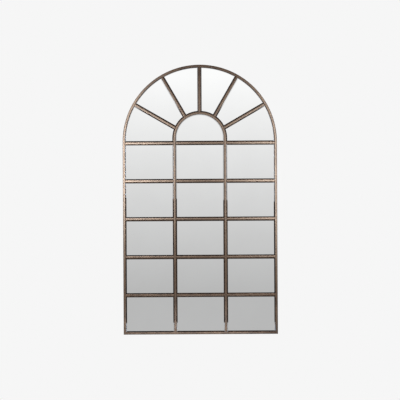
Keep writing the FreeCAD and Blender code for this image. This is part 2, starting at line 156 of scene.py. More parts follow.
def mix_colour(tree, factor, first, second):
    """Blend two colours by a mask; a Mix node has its colours at inputs 6 and 7."""
    inputs = {0: factor, 6: first, 7: second}
    return add_node(tree, "ShaderNodeMix", inputs, data_type="RGBA").outputs[2]


def noise(tree, place, scale, detail, roughness):
    """A Noise Texture; returns its value."""
    inputs = {"Vector": place, "Scale": scale, "Detail": detail, "Roughness": roughness}
    return add_node(tree, "ShaderNodeTexNoise", inputs).outputs["Fac"]


def camera_sees(tree, even, other):
    """Show one shader to the camera and another one to everything else."""
    seen = add_node(tree, "ShaderNodeLightPath").outputs["Is Camera Ray"]
    inputs = {0: seen, 1: other.outputs[0], 2: even.outputs[0]}
    return add_node(tree, "ShaderNodeMixShader", inputs).outputs[0]


print("node helpers ready")

# %% [markdown]
# ## The studio
# A mirror shows the room, so the room is part of its look. The panes reflect a white sweep that
# falls off to grey towards the floor, and a dimmer room round it. Walls could be modelled behind the
# camera, but a world shader that depends on direction alone does the same, and it stays smooth so
# that the panes look right from every side. The camera itself sees an even pale background. Angles
# are in degrees here, because the nodes turn directions into degrees.

# %% Build the studio around the mirror
WHITE = (1, 1, 1, 1)
BACKGROUND_GREY = 0.9216
SWEEP_RISE = (-0.0858, 0.1175)
SWEEP_TONES = (0.740, 1.015)
TONE_TO_LIGHT = 2.2
SWEEP_SIDES = (23.0, 34.0)
SWEEP_FOOT = (-34.0, -25.0)
SWEEP_HEAD = (30.0, 45.0)
DIM_ROOM = 0.62

world = bpy.data.worlds.new("studio")
scene.world = world
world.use_nodes = True
tree = world.node_tree
tree.nodes.clear()
direction = add_node(tree, "ShaderNodeTexCoord").outputs["Generated"]
parts = add_node(tree, "ShaderNodeSeparateXYZ", {"Vector": direction}).outputs
rise = maths(tree, "DEGREES", maths(tree, "ARCSINE", parts["Z"]))
toward = maths(tree, "MULTIPLY", parts["Y"], -1.0)
bearing = maths(tree, "DEGREES", maths(tree, "ARCTAN2", parts["X"], toward))
within_sides = remap(tree, maths(tree, "ABSOLUTE", bearing), *SWEEP_SIDES, 1.0, 0.0)
above_foot = remap(tree, rise, *SWEEP_FOOT)
below_head = remap(tree, rise, *SWEEP_HEAD, 1.0, 0.0)
on_sweep = maths(tree, "MULTIPLY", within_sides, maths(tree, "MULTIPLY", above_foot, below_head))
off_sweep = maths(tree, "MULTIPLY", DIM_ROOM, maths(tree, "SUBTRACT", 1.0, on_sweep))
tone = remap(tree, parts["Z"], *SWEEP_RISE, *SWEEP_TONES, smooth=False)
light = maths(tree, "POWER", tone, TONE_TO_LIGHT)
room = maths(tree, "MULTIPLY", light, maths(tree, "ADD", on_sweep, off_sweep))
backdrop = add_node(tree, "ShaderNodeBackground", {"Color": WHITE, "Strength": BACKGROUND_GREY})
surroundings = add_node(tree, "ShaderNodeBackground", {"Color": WHITE, "Strength": room})
add_node(tree, "ShaderNodeOutputWorld", {"Surface": camera_sees(tree, backdrop, surroundings)})
print("studio nodes:", len(tree.nodes))

# %% [markdown]
# ### Soft boxes
# Dark metal needs broad lamps near by, or it stays black. Two tall soft boxes stand before the
# stiles, the left one stronger, and are turned outwards, so the outer sides of the frame stay dark.
# Two small ones light the shoulders of the bow, one lights the middle rows, and a low one stands for
# the light that the floor throws back. They are cool like daylight and shine on the bronze alone, so
# the panes do not show them: that is set with light linking once the bronze is made. A white fill
# lights the back.

# %% Hang the soft boxes
DAYLIGHT = (0.56, 0.75, 1.0)


def soft_box(name, place, aim, power, size, colour=DAYLIGHT):
    """A rectangular area light, of a width and height, that points at a spot."""
    data = bpy.data.lights.new(name, "AREA")
    data.shape = "RECTANGLE"
    data.size, data.size_y = size
    data.energy = power
    data.color = colour
    lamp = new_object(name, data)
    lamp.visible_camera = False
    lamp.location = place
    lamp.rotation_euler = (Vector(aim) - Vector(place)).to_track_quat("-Z", "Y").to_euler()
    return lamp


bronze_lights = [
    soft_box("left_soft_box", (-0.49, -0.6, 1.10), aim=(-0.92, 0, 1.10), power=36, size=(0.05, 0.50)),
    soft_box("right_soft_box", (0.49, -0.6, 1.05), aim=(0.92, 0, 1.05), power=28, size=(0.05, 0.70)),
    soft_box("left_shoulder_box", (-0.62, -0.45, 1.70), aim=(-0.42, 0, 1.56), power=4.1, size=(0.20, 0.20)),
    soft_box("right_shoulder_box", (0.62, -0.45, 1.70), aim=(0.42, 0, 1.56), power=2.2, size=(0.20, 0.20)),
    soft_box("front_soft_box", (0, -0.6, 1.25), aim=(0, 0, 1.25), power=2.6, size=(0.6, 0.25)),
    soft_box("floor_bounce", (-0.06, -0.25, 0.03), aim=(-0.06, 0, 0.02), power=4.6, size=(1.0, 0.05)),
]
soft_box("back_fill", (0.6, 2.4, 2.0), aim=(0, 0, 0.9), power=45, size=(1.6, 1.6), colour=WHITE[:3])
print("lights:", [lamp.name for lamp in bpy.data.lights])

# %% [markdown]
# ### The floor
# The floor is a pale sheet that meets the background without a line. A curved backdrop could do
# that, but it would stand in the way of the views from behind. Here a flat sheet gives the camera the
# same even light as the background, and to everything else it is plain matt paper.

# %% Lay the floor
FLOOR_SIZE = 30.0
PAPER_GREY = (0.8, 0.8, 0.8, 1)

floor_mesh = bpy.data.meshes.new("floor")
edge = FLOOR_SIZE / 2
floor_corners = [(-edge, -edge, 0), (edge, -edge, 0), (edge, edge, 0), (-edge, edge, 0)]
floor_mesh.from_pydata(floor_corners, [], [(0, 1, 2, 3)])
floor = new_object("floor", floor_mesh)
paper = bpy.data.materials.new("floor_paper")
paper.use_nodes = True
tree = paper.node_tree
tree.nodes.clear()
even = add_node(tree, "ShaderNodeEmission", {"Color": WHITE, "Strength": BACKGROUND_GREY})
matt = add_node(tree, "ShaderNodeBsdfDiffuse", {"Color": PAPER_GREY})
add_node(tree, "ShaderNodeOutputMaterial", {"Surface": camera_sees(tree, even, matt)})
floor_mesh.materials.append(paper)
floor.visible_glossy = False
print("floor laid, in metres:", FLOOR_SIZE)

# %% [markdown]
# ## Finishes
# Metal, glass, board and rubber all vary a little over their surface. Pictures could be laid on them,
# but a pattern worked out from the place of each point has no seams and fits every piece. One shader
# node group gives that variation to every finish: a broad cloud, a fine speckle and a height for
# the bump, each at the scale that the finish asks for.

# %% A shared group for uneven surfaces
NOISE_MIDDLE = (0.35, 0.65)
SPECKLE_HEIGHT = 0.35

uneven, given, result = new_group(
    "Shader",
    "uneven_surface",
    {"Place": "Vector", "Cloud Scale": "Float", "Speckle Scale": "Float"},
    {"Cloud": "Float", "Speckle": "Float", "Height": "Float"},
)
cloud = noise(uneven, given["Place"], given["Cloud Scale"], detail=5.0, roughness=0.6)
speckle = noise(uneven, given["Place"], given["Speckle Scale"], detail=3.0, roughness=0.55)
fine_height = maths(uneven, "MULTIPLY", speckle, SPECKLE_HEIGHT)
fill(uneven, result["Cloud"], remap(uneven, cloud, *NOISE_MIDDLE))
fill(uneven, result["Speckle"], remap(uneven, speckle, *NOISE_MIDDLE))
fill(uneven, result["Height"], maths(uneven, "ADD", cloud, fine_height))
print("group made:", uneven.name)

# %% [markdown]
# Drawn metal keeps fine lines along its length. Scratches could be modelled, but they are far too
# fine for that, so this group makes them from a noise that is stretched a lot one way. The bars carry
# two attributes from the way they are made, how far along and how far across the bar a point lies,
# and the lines follow those round the bends. The zinc stretches its own place instead.

# %% A shared group for drawn lines
STREAK_MIDDLE = (0.3, 0.7)

drawn, given, result = new_group(
    "Shader",
    "drawn_lines",
    {"Place": "Vector", "Stretch": "Vector"},
    {"Lines": "Float"},
)
factors = {0: given["Place"], 1: given["Stretch"]}
stretched = add_node(drawn, "ShaderNodeVectorMath", factors, operation="MULTIPLY").outputs[0]
streaks = noise(drawn, stretched, scale=1.0, detail=4.0, roughness=0.65)
fill(drawn, result["Lines"], remap(drawn, streaks, *STREAK_MIDDLE))
print("group made:", drawn.name)

# %% [markdown]
# ### Helpers for finishes
# Each finish is a material with one Principled shader, which can be metal, paint or rubber alike.
# These helpers start such a material, place a shared group in it, read a value that a piece carries,
# spread a mask between two limits, turn a height into a bump and fill the inputs of the shader.

# %% Helpers for finishes
def new_finish(name):
    """Start a material; returns it, its tree, its shader's inputs and the place of a point on the piece."""
    finish = bpy.data.materials.new(name)
    finish.use_nodes = True
    tree = finish.node_tree
    tree.nodes.clear()
    shader = add_node(tree, "ShaderNodeBsdfPrincipled")
    add_node(tree, "ShaderNodeOutputMaterial", {"Surface": shader.outputs[0]})
    place = add_node(tree, "ShaderNodeTexCoord").outputs["Object"]
    return finish, tree, shader.inputs, place


def socket_name(word):
    """The name of a socket from a keyword: base_color becomes Base Color."""
    return word.replace("_", " ").title()


def use_group(tree, group, **inputs):
    """Place a shared group in a finish with its own values."""
    named = {socket_name(word): given for word, given in inputs.items()}
    return add_node(tree, "ShaderNodeGroup", named, node_tree=group).outputs


def attribute(tree, name):
    """A value that the piece carries on its surface."""
    return add_node(tree, "ShaderNodeAttribute", attribute_name=name).outputs["Fac"]


def spread(tree, mask, low, high):
    """Spread a mask evenly between two values."""
    return remap(tree, mask, 0.0, 1.0, low, high, smooth=False)


def bump(tree, height, strength, distance):
    """Turn a height into a bumpy normal."""
    inputs = {"Height": height, "Strength": strength, "Distance": distance}
    return add_node(tree, "ShaderNodeBump", inputs).outputs["Normal"]


def set_shader(tree, shader, **inputs):
    """Fill or join the inputs of a finish's shader."""
    for word, given in inputs.items():
        fill(tree, shader[socket_name(word)], given)


print("finish helpers ready")

# %% [markdown]
# ### Aged bronze
# The frame is steel with a bronze coat that has been rubbed back: brown in the hollows, lighter and
# warmer on the crest of each bar. The wear could be painted by hand. Here the crest attribute says how
# near the crest a point is, so the rubbing follows the shape by itself. Towards the top of the bow and
# the foot of the frame the lighter crest fades away: that is painted shade, as less light falls there.

# %% Aged bronze
PATINA_BROWN = (0.042, 0.0195, 0.010, 1)
BRONZE = (0.104, 0.0525, 0.0265, 1)
RUBBED_BRONZE = (0.166, 0.097, 0.055, 1)
# These heights and the least share fade the lighter crest at the foot and at the top of the bow: painted
# shade.
PAINTED_SHADE_FOOT = (0.15, 0.40)
PAINTED_SHADE_TOP = (1.55, 1.75)
PAINTED_SHADE_SHARE = 0.45
LEAST_RUBBED = 0.55
MATT = (0.64, 0.74)
POLISH = 0.06
LINE_HEIGHT = 0.2

bronze, tree, shader, place = new_finish("rubbed_bronze")
bar_place = {"X": attribute(tree, "across"), "Y": attribute(tree, "along")}
lengthwise = add_node(tree, "ShaderNodeCombineXYZ", bar_place).outputs[0]
lines = use_group(tree, drawn, place=lengthwise, stretch=(2500.0, 25.0, 1.0))["Lines"]
patches = use_group(tree, uneven, place=place, cloud_scale=14.0, speckle_scale=260.0)
body_colour = mix_colour(tree, patches["Cloud"], PATINA_BROWN, BRONZE)
height = add_node(tree, "ShaderNodeSeparateXYZ", {"Vector": place}).outputs["Z"]
# Painted shade: the crest gets less of its light colour towards the foot and the top of the bow.
lit_above_foot = remap(tree, height, *PAINTED_SHADE_FOOT, PAINTED_SHADE_SHARE, 1.0)
lit_below_top = remap(tree, height, *PAINTED_SHADE_TOP, 1.0, PAINTED_SHADE_SHARE)
painted_light_by_height = maths(tree, "MULTIPLY", lit_above_foot, lit_below_top)
rubbed_with_painted_shade = maths(tree, "MULTIPLY", attribute(tree, "crest"), spread(tree, lines, LEAST_RUBBED, 1.0))
rubbed_with_painted_shade = maths(tree, "MULTIPLY", rubbed_with_painted_shade, painted_light_by_height)
matt_patches = spread(tree, patches["Speckle"], *MATT)
relief = maths(tree, "ADD", patches["Height"], maths(tree, "MULTIPLY", lines, LINE_HEIGHT))
set_shader(
    tree,
    shader,
    base_color=mix_colour(tree, rubbed_with_painted_shade, body_colour, RUBBED_BRONZE),
    roughness=maths(tree, "SUBTRACT", matt_patches, maths(tree, "MULTIPLY", rubbed_with_painted_shade, POLISH)),
    metallic=1.0,
    coat_weight=0.3,
    coat_roughness=0.65,
    normal=bump(tree, relief, strength=0.07, distance=0.0004),
)
print("finish made:", bronze.name)

# %% [markdown]
# ### Silvered glass
# A clean mirror is nearly a perfect reflector with a faint green cast from the glass. It could be a
# glass plate over a silver sheet, but a smooth metal reflects the same room without a second, weaker
# picture beside it. A haze of wiping marks changes the roughness a little.

# %% Silvered glass
SILVER = (0.940, 0.947, 0.945, 1)
SILVER_HAZED = (0.925, 0.930, 0.928, 1)
HAZE = (0.008, 0.022)

mirror_silver, tree, shader, place = new_finish("mirror_silver")
wiping = use_group(tree, uneven, place=place, cloud_scale=4.0, speckle_scale=120.0)
set_shader(
    tree,
    shader,
    base_color=mix_colour(tree, wiping["Cloud"], SILVER, SILVER_HAZED),
    roughness=spread(tree, wiping["Cloud"], *HAZE),
    metallic=1.0,
)
print("finish made:", mirror_silver.name)

# %% [markdown]
# ### The ground edge
# The thin dark lines beside the bars are a painted reflection: the ground edge is dark brown where it
# would reflect the dark parts of the room, and ground silver elsewhere. The edges that face down are
# all dark, and those that face up are left silver near the top of the arch. The upright ones are left
# silver at the foot and in a band above the third row, which slants a little. Beside the mullions they
# keep some of the dark there. The curved edges at the feet of the bow are left silver, and those under
# the inner arch nearly so. Lines could be painted one by one, but each pane stores the way its edges
# face and which of them are left without the dark, so the finish needs only those attributes and the
# place of a point.

# %% Ground edge
GROUND_SILVER = (0.80, 0.80, 0.795, 1)
# The two dark browns are a painted reflection of the dark parts of the room in the ground edge.
PAINTED_DARK_REFLECTION = (0.030, 0.021, 0.017, 1)
PAINTED_DARK_REFLECTION_PALE = (0.050, 0.035, 0.028, 1)
LEVEL_FROM = (0.35, 0.55)
# The heights, band and shares below set where the ground edge is left silver, without its painted
# reflection.
UNPAINTED_FOOT = 0.077
UNPAINTED_BAND = (0.900, 1.285)
BAND_SLANT = 0.034
BAND_EDGE = 0.006
STILE_SIDE = (0.30, 0.40)
MULLION_UNPAINTED = 0.65
UNPAINTED_TOP = 1.52
TOP_EDGE = 0.04
THIN_ABOVE = 1.47
THINNED = 0.12
DULL = (0.10, 0.20)
UNPAINTED_ROUGHNESS_SHARE = 0.3

ground_edge, tree, shader, place = new_finish("ground_edge")
place_parts = add_node(tree, "ShaderNodeSeparateXYZ", {"Vector": place}).outputs
height = place_parts["Z"]
slanted = maths(tree, "ADD", height, maths(tree, "MULTIPLY", place_parts["X"], BAND_SLANT))
off_middle = maths(tree, "ABSOLUTE", place_parts["X"])
facing = attribute(tree, "facing")
upright = remap(tree, maths(tree, "ABSOLUTE", facing), *LEVEL_FROM, 1.0, 0.0)
faces_up = remap(tree, facing, *LEVEL_FROM)


def above(measure, limit, edge=BAND_EDGE):
    """A mask that is one above a limit and zero below it."""
    return remap(tree, measure, limit - edge, limit + edge)


in_band = maths(tree, "SUBTRACT", above(slanted, UNPAINTED_BAND[0]), above(height, UNPAINTED_BAND[1]))
in_band = maths(tree, "MULTIPLY", in_band, remap(tree, off_middle, *STILE_SIDE, MULLION_UNPAINTED, 1.0))
painted_dark_rows = maths(tree, "SUBTRACT", above(height, UNPAINTED_FOOT), in_band)
unpainted_uprights = maths(tree, "MULTIPLY", upright, maths(tree, "SUBTRACT", 1.0, painted_dark_rows))
unpainted_top_edges = maths(tree, "MULTIPLY", faces_up, above(height, UNPAINTED_TOP, TOP_EDGE))
top_uprights_less_painted = maths(tree, "MULTIPLY", upright, maths(tree, "MULTIPLY", above(height, THIN_ABOVE), THINNED))
unpainted_mask = maths(tree, "MAXIMUM", unpainted_uprights, maths(tree, "MAXIMUM", unpainted_top_edges, top_uprights_less_painted))
unpainted_mask = maths(tree, "MAXIMUM", unpainted_mask, attribute(tree, "left_unpainted"))
# Painted reflection: where this mask is one, the ground edge is dark brown instead of silver.
painted_reflection_mask = maths(tree, "SUBTRACT", 1.0, unpainted_mask)
patches = use_group(tree, uneven, place=place, cloud_scale=45.0, speckle_scale=700.0)
painted_reflection_colour = mix_colour(tree, patches["Cloud"], PAINTED_DARK_REFLECTION, PAINTED_DARK_REFLECTION_PALE)
dulled = spread(tree, patches["Speckle"], *DULL)
set_shader(
    tree,
    shader,
    base_color=mix_colour(tree, painted_reflection_mask, GROUND_SILVER, painted_reflection_colour),
    roughness=maths(tree, "MULTIPLY", dulled, remap(tree, painted_reflection_mask, 0.0, 1.0, UNPAINTED_ROUGHNESS_SHARE, 1.0)),
    metallic=1.0,
)
print("finish made:", ground_edge.name)

# %% [markdown]
# ### The back of a pane
# A grey-green paint seals the silver from behind. It shows only at the rim of a pane, so two greys
# in clouds and a slight bump are enough, and no brush marks are drawn.

# %% Back paint
PAINT_DARK = (0.10, 0.11, 0.11, 1)
PAINT_LIGHT = (0.15, 0.16, 0.16, 1)

back_paint, tree, shader, place = new_finish("mirror_back_paint")
patches = use_group(tree, uneven, place=place, cloud_scale=9.0, speckle_scale=180.0)
set_shader(
    tree,
    shader,
    base_color=mix_colour(tree, patches["Cloud"], PAINT_DARK, PAINT_LIGHT),
    roughness=spread(tree, patches["Speckle"], 0.45, 0.65),
    normal=bump(tree, patches["Height"], strength=0.2, distance=0.0003),
)
print("finish made:", back_paint.name)

# %% [markdown]
# ### Fibreboard
# The backing board is brown fibreboard with short fibres pressed flat. Single fibres could be strewn
# on it as geometry, but they lie in the surface. A fine noise, drawn out into short upright strokes,
# lightens the brown and lifts the bump instead.

# %% Fibreboard
BOARD_DARK = (0.205, 0.127, 0.073, 1)
BOARD_LIGHT = (0.235, 0.148, 0.087, 1)
FIBRE = (0.305, 0.205, 0.128, 1)
FIBRE_SCALE = (1.0, 1.0, 0.35)
FIBRE_SHOWS = (0.45, 0.8)

fibreboard, tree, shader, place = new_finish("fibreboard")
patches = use_group(tree, uneven, place=place, cloud_scale=38.0, speckle_scale=420.0)
drawn_out = add_node(tree, "ShaderNodeMapping", {"Vector": place, "Scale": FIBRE_SCALE}).outputs[0]
fibres = noise(tree, drawn_out, scale=900.0, detail=4.0, roughness=0.7)
board_colour = mix_colour(tree, patches["Cloud"], BOARD_DARK, BOARD_LIGHT)
set_shader(
    tree,
    shader,
    base_color=mix_colour(tree, remap(tree, fibres, *FIBRE_SHOWS), board_colour, FIBRE),
    roughness=spread(tree, patches["Speckle"], 0.62, 0.82),
    normal=bump(tree, maths(tree, "ADD", fibres, patches["Height"]), strength=0.35, distance=0.0003),
)
print("finish made:", fibreboard.name)

# %% [markdown]
# ### Zinc plate
# Tabs, straps, rings and screws are zinc-plated steel: pale grey, a little cloudy, with fine lines
# from rolling. The same two groups as for the bronze make it, with closer clouds and other lines,
# so both metals look as if they came from one workshop.

# %% Zinc plate
ZINC_DARK = (0.50, 0.50, 0.48, 1)
ZINC_LIGHT = (0.68, 0.68, 0.66, 1)
ZINC_ROUGHNESS = 0.24
SPECKLE_DULLS = 0.12
LINES_DULL = 0.1

zinc, tree, shader, place = new_finish("zinc_plate")
patches = use_group(tree, uneven, place=place, cloud_scale=160.0, speckle_scale=900.0)
lines = use_group(tree, drawn, place=place, stretch=(2200.0, 2200.0, 60.0))["Lines"]
speckled = maths(tree, "MULTIPLY", patches["Speckle"], SPECKLE_DULLS)
lined = maths(tree, "MULTIPLY", lines, LINES_DULL)
set_shader(
    tree,
    shader,
    base_color=mix_colour(tree, patches["Cloud"], ZINC_DARK, ZINC_LIGHT),
    roughness=maths(tree, "ADD", maths(tree, "ADD", speckled, lined), ZINC_ROUGHNESS),
    metallic=1.0,
    normal=bump(tree, maths(tree, "ADD", patches["Height"], lines), strength=0.1, distance=0.0001),
)
print("finish made:", zinc.name)

# %% [markdown]
# ### Rubber
# The wall pads are moulded black rubber. Rubber is never quite black or even, so two near blacks and
# a fine speckle from the shared group keep it from looking like a hole in the picture.

# %% Rubber
RUBBER_DARK = (0.018, 0.018, 0.018, 1)
RUBBER_LIGHT = (0.035, 0.034, 0.033, 1)

pad_rubber, tree, shader, place = new_finish("moulded_rubber")
patches = use_group(tree, uneven, place=place, cloud_scale=70.0, speckle_scale=1500.0)
set_shader(
    tree,
    shader,
    base_color=mix_colour(tree, patches["Cloud"], RUBBER_DARK, RUBBER_LIGHT),
    roughness=spread(tree, patches["Speckle"], 0.6, 0.85),
    normal=bump(tree, patches["Height"], strength=0.3, distance=0.0002),
)
print("finish made:", pad_rubber.name)

# %% [markdown]
# ## Bars along paths
# Every metal member is one section that follows a path: a straight line or a half circle. Each could
# be extruded by hand, but all follow the same rule, so Geometry Nodes do the work. The tree takes the
# path, the section and the finish. It holds the section upright with a fixed curve normal, sweeps it,
# and stores how far along and across each point lies and how near it is to the crest.

# %% Helpers for geometry trees
def keep_value(tree, geometry, name, value):
    """Keep a value on the points of a geometry, as a named attribute."""
    kind = "GeometryNodeStoreNamedAttribute"
    inputs = {"Geometry": geometry, "Name": name, "Value": value}
    return add_node(tree, kind, inputs, data_type="FLOAT", domain="POINT").outputs[0]


def shape_of(tree, thing):
    """The shape of an object that a tree is given."""
    return add_node(tree, "GeometryNodeObjectInfo", {"Object": thing}).outputs["Geometry"]


def swept(tree, path, section):
    """A section swept along a path, with closed ends."""
    inputs = {"Curve": path, "Profile Curve": section, "Fill Caps": True}
    return add_node(tree, "GeometryNodeCurveToMesh", inputs).outputs[0]


def put_on(tree, points, thing, rotation):
    """A copy of a shape on every point."""
    inputs = {"Points": points, "Instance": thing, "Rotation": rotation}
    return add_node(tree, "GeometryNodeInstanceOnPoints", inputs).outputs[0]


def close_tree(tree, geometry, finish, result):
    """End a tree: make every copy real, give it its finish and hand it out."""
    tree.is_modifier = True
    solid = add_node(tree, "GeometryNodeRealizeInstances", {"Geometry": geometry}).outputs[0]
    finished = add_node(tree, "GeometryNodeSetMaterial", {"Geometry": solid, "Material": finish})
    fill(tree, result[0], finished.outputs[0])
    print("nodes in", tree.name, len(tree.nodes))


print("geometry helpers ready")

# %% A node tree that sweeps a section along a path
TOWARDS_VIEWER = (0, -1, 0)

sweeper, given, result = new_group(
    "Geometry",
    "section_sweep",
    {
        "Path": "Geometry",
        "Section": "Object",
        "Finish": "Material",
        "Crest Depth": "Float",
        "Shoulder Depth": "Float",
    },
    {"Member": "Geometry"},
)
length = add_node(sweeper, "GeometryNodeSplineParameter").outputs["Length"]
path = keep_value(sweeper, given["Path"], "along", length)
held = {"Curve": path, "Normal": TOWARDS_VIEWER}
upright_path = add_node(sweeper, "GeometryNodeSetCurveNormal", held, mode="FREE").outputs[0]
spot = add_node(sweeper, "GeometryNodeInputPosition").outputs[0]
spot_parts = add_node(sweeper, "ShaderNodeSeparateXYZ", {"Vector": spot}).outputs
near_crest = remap(sweeper, spot_parts["X"], given["Shoulder Depth"], given["Crest Depth"])
section = keep_value(sweeper, shape_of(sweeper, given["Section"]), "crest", near_crest)
section = keep_value(sweeper, section, "across", spot_parts["Y"])
close_tree(sweeper, swept(sweeper, upright_path, section), given["Finish"], result)

# %% [markdown]
# ## Sections
# A section is drawn once, as seen when looking along the member: forward is towards the viewer and
# sideways is away from the middle of the mirror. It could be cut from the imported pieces, but those
# have knife edges, and real metal has none. Here the corners that catch light get a small radius.

# %% Draw the two sections
FRAME_FRONT = 0.01745
BAR_SETBACK = 0.006
CROWN_RISE = 0.0025
BAR_SIDE = 0.0035
STEM_WIDTH = 0.003
CROWN_STEPS = 14
CORNER_STEPS = 4
ARRIS = 0.0006
LIP_ARRIS = 0.0003

frame_low, frame_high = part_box("right_stile")
face_width = frame_high[0] - frame_low[0]
frame_back = frame_high[1]
bar_low, bar_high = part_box("right_mullion")
bar_width = bar_high[0] - bar_low[0]
bar_front = FRAME_FRONT - BAR_SETBACK
bar_back = bar_high[1]
lip_front = bar_front - CROWN_RISE - BAR_SIDE
tube_width = face_width - (bar_width - STEM_WIDTH) / 2
half_bar = bar_width / 2
half_stem = STEM_WIDTH / 2


def rounded(corners):
    """Round the corners of an outline; each corner is (forward, sideways, radius)."""
    outline = []
    count = len(corners)
    for number, (forward, sideways, radius) in enumerate(corners):
        spot = Vector((forward, sideways))
        if not radius:
            outline.append(spot)
            continue
        before = (Vector(corners[number - 1][:2]) - spot).normalized()
        after = (Vector(corners[(number + 1) % count][:2]) - spot).normalized()
        half_angle = before.angle(after) / 2
        reach = radius / math.tan(half_angle)
        middle = spot + (before + after).normalized() * radius / math.sin(half_angle)
        start = spot + before * reach - middle
        end = spot + after * reach - middle
        for step in range(CORNER_STEPS + 1):
            arm = start.lerp(end, step / CORNER_STEPS).normalized() * radius
            outline.append(middle + arm)
    return outline


def crowned(front, low_side, high_side):
    """The bowed front of a member, from its low side to its high side."""
    half = (high_side - low_side) / 2
    centre = (high_side + low_side) / 2
    radius = (half * half + CROWN_RISE * CROWN_RISE) / (2 * CROWN_RISE)
    swing = math.asin(half / radius)
    corners = []
    for step in range(CROWN_STEPS + 1):
        turn = swing * (2 * step / CROWN_STEPS - 1)
        arris = ARRIS if step in (0, CROWN_STEPS) else 0
        forward = front - radius + radius * math.cos(turn)
        corners.append((forward, centre + radius * math.sin(turn), arris))
    return corners


bar_section = rounded(
    crowned(bar_front, -half_bar, half_bar)
    + [
        (lip_front, half_bar, LIP_ARRIS),
        (lip_front, half_stem, 0),
        (-bar_back, half_stem, 0),
        (-bar_back, -half_stem, 0),
        (lip_front, -half_stem, 0),
        (lip_front, -half_bar, LIP_ARRIS),
    ]
)
frame_section = rounded(
    crowned(FRAME_FRONT, -face_width, 0)
    + [
        (-frame_back, 0, ARRIS),
        (-frame_back, -tube_width, ARRIS),
        (lip_front, -tube_width, 0),
        (lip_front, -face_width, LIP_ARRIS),
    ]
)
print("points in the sections:", len(bar_section), len(frame_section))

# %% [markdown]
# ## Paths
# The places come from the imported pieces, so nothing has to be measured again. Straight members run
# between the two ends of their box, and the bent ones follow half a circle. The outer frame is
# followed by its outer edge, round the mirror in one direction, so its lip always lies on the glass
# side.

# %% Lay out the paths
ARC_STEPS = 75

half_width = frame_high[0]
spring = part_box("arch_bow")[0][2]
arch_low, arch_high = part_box("inner_arch")
inner_centre = arch_low[2]
inner_radius = arch_high[0] - half_bar
rail_low, rail_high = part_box("bottom_rail")


def half_circle(radius, height):
    """Half a circle from the right-hand side over the top to the left."""
    turns = [math.pi * step / ARC_STEPS for step in range(ARC_STEPS + 1)]
    return [(radius * math.cos(turn), 0, height + radius * math.sin(turn)) for turn in turns]


paths = {
    "arch_bow": half_circle(half_width, spring),
    "right_stile": [(half_width, 0, 0), (half_width, 0, spring)],
    "left_stile": [(-half_width, 0, spring), (-half_width, 0, 0)],
    "bottom_rail": [(rail_low[0], 0, 0), (rail_high[0], 0, 0)],
    "inner_arch": half_circle(inner_radius, inner_centre),
}
frame_members = [name for name in paths if name != "inner_arch"]
for name in nodes:
    low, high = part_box(name)
    if "mullion" in name:
        middle = (low[0] + high[0]) / 2
        paths[name] = [(middle, 0, low[2]), (middle, 0, high[2])]
    elif name.startswith("transom"):
        middle = (low[2] + high[2]) / 2
        paths[name] = [(low[0], 0, middle), (high[0], 0, middle)]
print("paths laid out:", len(paths))

# %% [markdown]
# ### Spokes
# Five spokes stand between the inner arch and the bow, at equal turns about the centre of the bow. A
# fitter files the foot of each to the curve that it stands on. The inner arch is set a little higher
# than that centre, so the foot is worked out with a formula for each place across the spoke. The head
# stays square and stops just short of the bow.

# %% Lay out the spokes
SPOKE_ANGLE = 30
WELD_GAP = 0.0001

spoke_turns = {f"spoke_{number}": math.radians(SPOKE_ANGLE * number) for number in range(1, 6)}
bow_inside = half_width - face_width
bow_sag = bar_width * bar_width / 8 / bow_inside
spoke_end = bow_inside - bow_sag - WELD_GAP
foot_radius = inner_radius + half_bar + WELD_GAP
stilt = inner_centre - spring


def foot_distance(turn, sideways):
    """How far up a spoke its foot meets the inner arch, at a place across the spoke."""
    off = stilt * math.cos(turn) + sideways
    return stilt * math.sin(turn) + math.sqrt(foot_radius * foot_radius - off * off)


for name, turn in spoke_turns.items():
    ends = (foot_distance(turn, 0.0), spoke_end)
    paths[name] = [(far * math.cos(turn), 0, spring + far * math.sin(turn)) for far in ends]
print("spokes laid out:", len(spoke_turns))

# %% [markdown]
# ## The bronze members
# Each path gets the sweep tree as a modifier. Its inputs are set by their identifiers, the result
# becomes a plain mesh, and the modifier and the path go away again. The modifiers could stay, but a
# plain mesh is what other programs can read. The finished piece then takes the place of the packed
# one.

# %% Helpers for finished pieces
SHARP = math.radians(40)


def plain_mesh(thing):
    """The mesh of an object with its modifiers applied; the object goes away."""
    bpy.context.view_layer.update()
    evaluated = thing.evaluated_get(bpy.context.evaluated_depsgraph_get())
    mesh = bpy.data.meshes.new_from_object(evaluated)
    thing.modifiers.clear()
    bpy.data.objects.remove(thing)
    return mesh


def grown(thing, tree, settings):
    """The plain mesh that a Geometry Nodes tree makes of an object."""
    modifier = thing.modifiers.new("grow", "NODES")
    modifier.node_group = tree
    for item in tree.interface.items_tree:
        if item.in_out == "INPUT" and item.name in settings:
            modifier[item.identifier] = settings[item.name]
    return plain_mesh(thing)


def finished_piece(name, mesh, sharp=SHARP):
    """An object for a finished mesh, smooth except at its real edges."""
    mesh.name = name
    mesh.shade_smooth()
    mesh.set_sharp_from_angle(angle=sharp)
    return new_object(name, mesh)


def carry(piece, body, slot, *replaced):
    """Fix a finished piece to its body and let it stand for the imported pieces."""
    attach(piece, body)
    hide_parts(*replaced)


def curve_object(name, points, closed=False):
    """A curve through points, in straight steps."""
    data = bpy.data.curves.new(name, "CURVE")
    data.dimensions = "3D"
    spline = data.splines.new("POLY")
    spline.points.add(len(points) - 1)
    for knot, spot in zip(spline.points, points):
        knot.co = (*spot, 1.0)
    spline.use_cyclic_u = closed
    return new_object(name, data)


def points_object(name, spots):
    """Loose points, for a tree that puts something on each."""
    data = bpy.data.meshes.new(name)
    data.from_pydata(spots, [], [])
    return new_object(name, data)


print("piece helpers ready")

